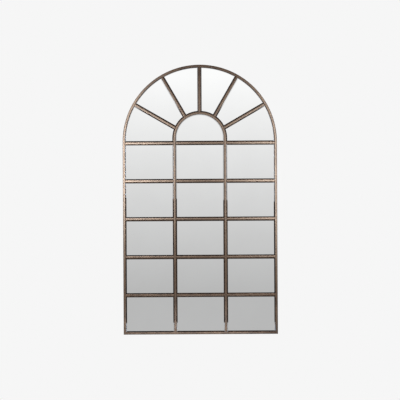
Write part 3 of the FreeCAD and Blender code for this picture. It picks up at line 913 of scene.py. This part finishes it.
# %% Sweep the members
def fit_foot(mesh, turn):
    """Shape the foot of a swept spoke to the curve of the inner arch."""
    up_spoke = Vector((math.cos(turn), 0, math.sin(turn)))
    beside = Vector((math.sin(turn), 0, -math.cos(turn)))
    middle = Vector((0, 0, spring))
    for vertex in mesh.vertices:
        arm = vertex.co - middle
        far = arm.dot(up_spoke)
        if far < half_width / 2:
            vertex.co += up_spoke * (foot_distance(turn, arm.dot(beside)) - far)


metal = bpy.data.collections.new("lit_by_soft_boxes")
bar_curve = curve_object("bar_section", [(*spot, 0) for spot in bar_section], closed=True)
frame_curve = curve_object("frame_section", [(*spot, 0) for spot in frame_section], closed=True)
for name, points in paths.items():
    outer = name in frame_members
    crest_depth = FRAME_FRONT if outer else bar_front
    settings = {
        "Section": frame_curve if outer else bar_curve,
        "Finish": bronze,
        "Crest Depth": crest_depth,
        "Shoulder Depth": crest_depth - CROWN_RISE,
    }
    mesh = grown(curve_object(name + "_path", points), sweeper, settings)
    if name in spoke_turns:
        fit_foot(mesh, spoke_turns[name])
    piece = finished_piece("bronze_" + name, mesh)
    carry(piece, "mirror_frame", "aged_bronze", name)
    metal.objects.link(piece)
bpy.data.objects.remove(bar_curve)
bpy.data.objects.remove(frame_curve)
for lamp in bronze_lights:
    lamp.light_linking.receiver_collection = metal
print("bronze members:", len(paths))

# %% [markdown]
# ## Brazed joints
# Where a bar meets another one, a thin line of brazing runs round its head. It could be a bump in the
# finish, but a bead has a real edge that catches light. All the lines are the same seam at different
# places, so Geometry Nodes sweep a round bead along the seam once and put it on every joint, turned
# to the bar that ends there.

# %% A node tree that places the seams
BEAD_SIDES = 10

brazer, given, result = new_group(
    "Geometry",
    "seams_on_joints",
    {"Joints": "Geometry", "Seam": "Object", "Bead Radius": "Float", "Finish": "Material"},
    {"Seams": "Geometry"},
)
bead_inputs = {"Resolution": BEAD_SIDES, "Radius": given["Bead Radius"]}
bead = add_node(brazer, "GeometryNodeCurvePrimitiveCircle", bead_inputs).outputs[0]
seam = swept(brazer, shape_of(brazer, given["Seam"]), bead)
turn_read = add_node(brazer, "GeometryNodeInputNamedAttribute", {"Name": "turn"}, data_type="FLOAT")
turned = add_node(brazer, "ShaderNodeCombineXYZ", {"Y": turn_read.outputs[0]}).outputs[0]
close_tree(brazer, put_on(brazer, given["Joints"], seam, turned), given["Finish"], result)

# %% Braze the joints
BEAD_RADIUS = 0.0008

head = crowned(bar_front, -half_bar, half_bar)
seam_points = [(0, -lip_front, -half_bar)]
seam_points += [(0, -forward, sideways) for forward, sideways, _ in head]
seam_points += [(0, -lip_front, half_bar)]
seam_curve = curve_object("bar_seam", seam_points)
joints = []
for name, points in paths.items():
    if name in frame_members or name == "inner_arch":
        continue
    start, end = Vector(points[0]), Vector(points[1])
    turn = -math.atan2(end.z - start.z, end.x - start.x)
    joints.append((start, turn))
    if "mullion" not in name:
        joints.append((end, turn))
holder = points_object("joints", [spot for spot, _ in joints])
turns = holder.data.attributes.new("turn", "FLOAT", "POINT")
turns.data.foreach_set("value", [turn for _, turn in joints])
mesh = grown(holder, brazer, {"Seam": seam_curve, "Bead Radius": BEAD_RADIUS, "Finish": bronze})
bpy.data.objects.remove(seam_curve)
piece = finished_piece("brazed_joints", mesh)
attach(piece, "mirror_frame")
metal.objects.link(piece)
print("brazed joints:", len(joints))

# %% [markdown]
# ## The panes
# A pane is a flat mirror with a narrow ground slope round its edge. The outline comes from the back
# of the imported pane. A bevel modifier could cut the slope, but on curved edges it leaves uneven
# corners. Here each corner is moved inwards along the line that halves its angle, so the slope keeps
# one width and meets itself in clean mitres, and curved edges reflect smoothly.

# %% Helpers for panes and copies
SAME_SPOT = 1e-6
FLAT = math.radians(0.2)


def joined_copy(name):
    """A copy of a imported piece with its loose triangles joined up."""
    work = bmesh.new()
    work.from_mesh(nodes[name].data)
    bmesh.ops.remove_doubles(work, verts=work.verts, dist=SAME_SPOT)
    return work


def clean_copy(name):
    """A joined-up copy with whole flat faces, ready for finer work."""
    work = joined_copy(name)
    bmesh.ops.dissolve_limit(work, angle_limit=FLAT, verts=work.verts, edges=work.edges)
    return work


def to_mesh(work, name, *finishes):
    """Turn finished work into a mesh with its materials."""
    mesh = bpy.data.meshes.new(name)
    work.to_mesh(mesh)
    work.free()
    for finish in finishes:
        mesh.materials.append(finish)
    return mesh


def back_outline(name):
    """The outline of a packed pane's back, anticlockwise as the viewer in front sees it."""
    work = clean_copy(name)
    back = max(work.faces, key=lambda face: face.normal.y * face.calc_area())
    outline = [Vector((vertex.co.x, vertex.co.z)) for vertex in back.verts]
    work.free()
    area = sum(a.x * b.y - b.x * a.y for a, b in zip(outline, outline[1:] + outline[:1]))
    return outline if area > 0 else outline[::-1]


def moved_in(outline, width):
    """The same outline, moved inwards by a width."""
    inner = []
    for number, spot in enumerate(outline):
        before = (spot - outline[number - 1]).normalized()
        after = (outline[(number + 1) % len(outline)] - spot).normalized()
        first = Vector((-before.y, before.x))
        second = Vector((-after.y, after.x))
        inner.append(spot + (first + second) * width / (1 + first.dot(second)))
    return inner


print("pane helpers ready")

# %% Cut and grind the panes
BEVEL_WIDTH = 0.0125
BEVEL_DEPTH = 0.0018
PANE_EDGE = math.radians(5)
BOW_FEET = ("fan_pane_1", "fan_pane_6")
# How far the edges at the feet of the bow and under the inner arch are left without the painted dark
# reflection.
UNPAINTED_BOW = 1.0
UNPAINTED_ARCH = 0.7
LEVEL_EDGE = 0.9
SILVERED, GROUND, PAINTED = range(3)

bow_centre = Vector((0, spring))


def unpainted_share(name, start, end):
    """How far an edge of a pane is left without the painted dark reflection."""
    halfway = (end + start) / 2
    if name in BOW_FEET and (halfway - bow_centre).length > bow_inside:
        return UNPAINTED_BOW
    if name == "half_round_pane" and (end - start).normalized().x < LEVEL_EDGE:
        return UNPAINTED_ARCH
    return 0.0


def ground_pane(name):
    """A pane with a flat front, a ground slope round it, and a painted rim and back."""
    low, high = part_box(name)
    outline = back_outline(name)
    rings = (
        (moved_in(outline, BEVEL_WIDTH), low[1]),
        (outline, low[1] + BEVEL_DEPTH),
        (outline, high[1]),
    )
    work = bmesh.new()
    facing = work.loops.layers.float.new("facing")
    left_unpainted = work.loops.layers.float.new("left_unpainted")
    front, slope, back = [
        [work.verts.new((spot.x, depth, spot.y)) for spot in ring]
        for ring, depth in rings
    ]
    work.faces.new(front).material_index = SILVERED
    for upper, lower, finish in ((front, slope, GROUND), (slope, back, PAINTED)):
        for number, spot in enumerate(outline):
            face = work.faces.new((lower[number - 1], lower[number], upper[number], upper[number - 1]))
            face.material_index = finish
            # Each edge stores which way it faces and how far it is left without the painted reflection.
            along = (spot - outline[number - 1]).normalized()
            for loop in face.loops:
                loop[facing] = -along.x
                loop[left_unpainted] = unpainted_share(name, outline[number - 1], spot)
    work.faces.new(back[::-1]).material_index = PAINTED
    return to_mesh(work, "mirror_" + name, mirror_silver, ground_edge, back_paint)


panes = [name for name in nodes if "pane" in name]
for name in panes:
    piece = finished_piece("mirror_" + name, ground_pane(name), PANE_EDGE)
    carry(piece, "mirror_frame", "mirror_glass", name)
print("panes finished:", len(panes))

# %% [markdown]
# ## The hardware behind
# Straps, tabs, rings and pads hold and hang the mirror. They could be modelled again, but clean copies
# keep the small holes in their right places. Pressed and moulded corners are never sharp, so those of
# the straps, tabs and pads are softened with a real bevel. The rings are round wire already.

# %% Make the hardware
SOFTENED_FROM = math.radians(35)
PRESSED_CORNER = 0.0003
PRESSED_STEPS = 2
MOULDED_CORNER = 0.0009
MOULDED_STEPS = 3


def softened(work, width, steps):
    """Round the corners of some work."""
    edges = [edge for edge in work.edges if edge.is_manifold and edge.calc_face_angle() > SOFTENED_FROM]
    rounding = {"offset": width, "segments": steps, "profile": 0.5, "clamp_overlap": True}
    bmesh.ops.bevel(work, geom=edges, affect="EDGES", **rounding)
    return work


def fit_copy(work, label, finish, body, slot, name):
    """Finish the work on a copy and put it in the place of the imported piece."""
    piece = finished_piece(label, to_mesh(work, label, finish))
    carry(piece, body, slot, name)


pressed = {
    "left_hanger_strap": "left_strap",
    "right_hanger_strap": "right_strap",
    "retaining_tabs": "board_tabs",
}
for name, label in pressed.items():
    work = softened(clean_copy(name), PRESSED_CORNER, PRESSED_STEPS)
    fit_copy(work, label, zinc, "mirror_frame", "zinc_steel", name)
for side in ("left", "right"):
    name = side + "_hanger_ring"
    fit_copy(clean_copy(name), side + "_d_ring", zinc, side + "_ring", "zinc_steel", name)
work = softened(clean_copy("wall_pads"), MOULDED_CORNER, MOULDED_STEPS)
fit_copy(work, "rubber_pads", pad_rubber, "mirror_frame", "pad_rubber", "wall_pads")
nodes["backing_board"].material_slots[0].material = fibreboard
print("hardware in place")

# %% [markdown]
# ## Screws
# The tabs and straps are held by screws with a domed head and a cross recess. One is modelled: its
# outline is turned about its axis, as on a lathe, and a cutter takes out the cross, as a punch would.
# The recess could be dark paint, but a real hollow looks right from the side too.

# %% Turn the blank of a screw
HEAD_RADIUS = 0.004
HEAD_HEIGHT = 0.0022
HEAD_ARRIS = 0.0002
RIM_SHARE, DOME_SHARE = 0.45, 0.55
DOME_STEPS = 8
SHANK_RADIUS = 0.002
SHANK_LENGTH = 0.005
TURNING_STEPS = 30


def lathe(profile):
    """Turn an outline of (radius, height) about the upright axis."""
    work = bmesh.new()
    spots = [work.verts.new((radius, 0, height)) for radius, height in profile]
    outline = [work.edges.new(pair) for pair in zip(spots, spots[1:])]
    turning = {"cent": (0, 0, 0), "axis": (0, 0, 1), "angle": math.tau, "steps": TURNING_STEPS}
    bmesh.ops.spin(work, geom=spots + outline, **turning)
    bmesh.ops.remove_doubles(work, verts=work.verts, dist=SAME_SPOT)
    bmesh.ops.recalc_face_normals(work, faces=work.faces)
    return work


dome_turns = [math.pi / 2 * step / DOME_STEPS for step in range(DOME_STEPS + 1)]
screw_outline = [
    (HEAD_RADIUS * math.sin(turn), HEAD_HEIGHT * (RIM_SHARE + DOME_SHARE * math.cos(turn)))
    for turn in dome_turns
]
screw_outline += [
    (HEAD_RADIUS, HEAD_ARRIS),
    (HEAD_RADIUS - HEAD_ARRIS, 0.0),
    (SHANK_RADIUS, 0.0),
    (SHANK_RADIUS, -SHANK_LENGTH),
    (0.0, -SHANK_LENGTH),
]
blank = new_object("screw_blank", to_mesh(lathe(screw_outline), "screw_blank", zinc))
print("faces in the blank:", len(blank.data.polygons))

# %% Cut the cross recess
RECESS_LENGTH = 0.0042
RECESS_WIDTH = 0.0009
RECESS_DEPTH = 0.0013

long, short = RECESS_LENGTH / 2, RECESS_WIDTH / 2
quarter = [(long, -short), (long, short), (short, short)]
cross = []
for turn in range(4):
    cross += quarter
    quarter = [(-y, x) for x, y in quarter]
work = bmesh.new()
recess_floor = [work.verts.new((x, y, HEAD_HEIGHT - RECESS_DEPTH)) for x, y in cross]
cutter_top = [work.verts.new((x, y, HEAD_HEIGHT + RECESS_DEPTH)) for x, y in cross]
work.faces.new(recess_floor[::-1])
work.faces.new(cutter_top)
for number in range(len(cross)):
    pair = (recess_floor[number - 1], recess_floor[number])
    work.faces.new((*pair, cutter_top[number], cutter_top[number - 1]))
cutter = new_object("cross_recess", to_mesh(work, "cross_recess", zinc))
cut = blank.modifiers.new("recess", "BOOLEAN")
cut.object = cutter
cut.operation = "DIFFERENCE"
cut.solver = "EXACT"
screw = finished_piece("screw_master", plain_mesh(blank))
bpy.data.objects.remove(cutter)
print("faces in one screw:", len(screw.data.polygons))

# %% [markdown]
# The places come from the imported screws, and Geometry Nodes put a screw on each. They could all stand
# at the same angle, but no fitter leaves them so: each is turned by chance, with a fixed seed that
# gives the same turns every time.

# %% A node tree that drives the screws
HEAD_TO_BACK = -math.pi / 2
MOST_TURNED = math.pi / 2

driver, given, result = new_group(
    "Geometry",
    "screws_on_points",
    {"Places": "Geometry", "Screw": "Object", "Finish": "Material", "Seed": "Int"},
    {"Screws": "Geometry"},
)
chance = {0: (HEAD_TO_BACK, 0, 0), 1: (HEAD_TO_BACK, MOST_TURNED, 0), "Seed": given["Seed"]}
spin = add_node(driver, "FunctionNodeRandomValue", chance, data_type="FLOAT_VECTOR").outputs[0]
driven = put_on(driver, given["Places"], shape_of(driver, given["Screw"]), spin)
close_tree(driver, driven, given["Finish"], result)

# %% Drive the screws
def islands(name):
    """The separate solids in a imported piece, each as a list of its points."""
    work = joined_copy(name)
    waiting = set(work.verts)
    groups = []
    while waiting:
        edge_of_group = [waiting.pop()]
        group = []
        while edge_of_group:
            vertex = edge_of_group.pop()
            group.append(vertex.co.copy())
            for edge in vertex.link_edges:
                other = edge.other_vert(vertex)
                if other in waiting:
                    waiting.remove(other)
                    edge_of_group.append(other)
        groups.append(group)
    work.free()
    return groups


def middle_of(spots, axis):
    """Half way between the lowest and the highest of some points along one axis."""
    values = [spot[axis] for spot in spots]
    return (min(values) + max(values)) / 2


for seed, name in enumerate(("tab_screws", "hanger_screws"), start=3):
    places = []
    for group in islands(name):
        seat = max(spot.y for spot in group) - HEAD_HEIGHT
        places.append((middle_of(group, 0), seat, middle_of(group, 2)))
    places.sort(key=lambda spot: (round(spot[2], 4), round(spot[0], 4)))
    settings = {"Screw": screw, "Finish": zinc, "Seed": seed}
    mesh = grown(points_object(name + "_places", places), driver, settings)
    carry(finished_piece("driven_" + name, mesh), "mirror_frame", "zinc_steel", name)
    print(name, len(places))
bpy.data.objects.remove(screw)
